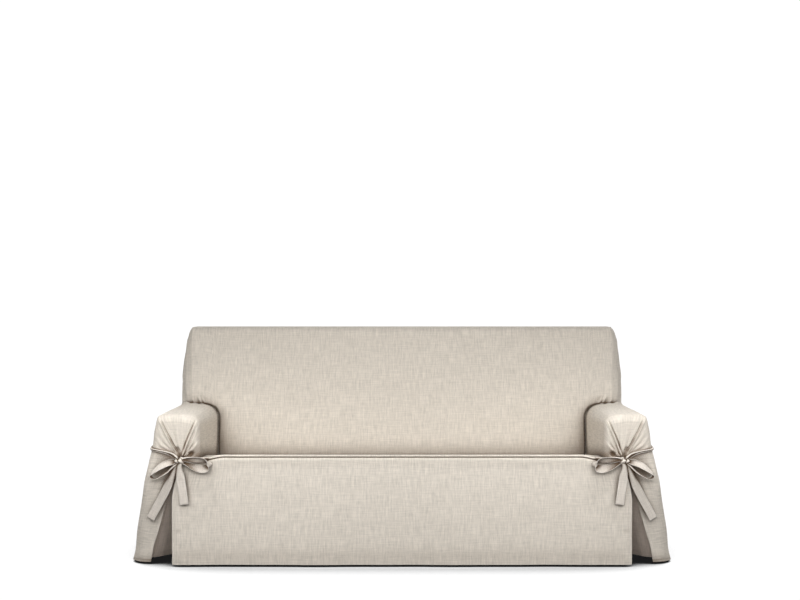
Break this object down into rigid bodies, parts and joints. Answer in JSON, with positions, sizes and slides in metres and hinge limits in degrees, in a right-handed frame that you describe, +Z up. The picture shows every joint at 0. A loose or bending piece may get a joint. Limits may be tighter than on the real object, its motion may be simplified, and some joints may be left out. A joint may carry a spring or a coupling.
{
  "type": "sofa slipcover",
  "caption": "Loose linen-like cover for a sofa, hollow, falling to a flared hem and drawn in at the front of each arm by a bow.",
  "frame": {"origin": "on the underside of the cloth at the top of the back, in the middle of the cover's width, where the top of a sofa's back bears on it", "axes": "+X to the right seen from the front, +Y from the front to the back, +Z up; the hems hang 10 mm above the floor, which is at Z = -0.965"},
  "size_m": [2.263, 0.9731, 0.9573],
  "materials": {
    "linen_cloth": "natural plain-weave linen look, matt, with slubs",
    "linen_cloth_rear": "the same cloth where it hangs in shade, matt, with slubs",
    "linen_tie": "the same cloth sewn into narrow ties, matt"
  },
  "bodies": {
    "root": {"inside_back": "linen_cloth", "outside_back": "linen_cloth_rear", "seat_panel": "linen_cloth", "front_skirt": "linen_cloth", "arm_cover_left": "linen_cloth", "arm_cover_right": "linen_cloth", "pleat_underlay_left": "linen_cloth_rear", "pleat_underlay_right": "linen_cloth_rear", "outer_tie_left": "linen_tie", "outer_tie_right": "linen_tie", "inner_tie_left": "linen_tie", "inner_tie_right": "linen_tie"}
  },
  "joints": []
}
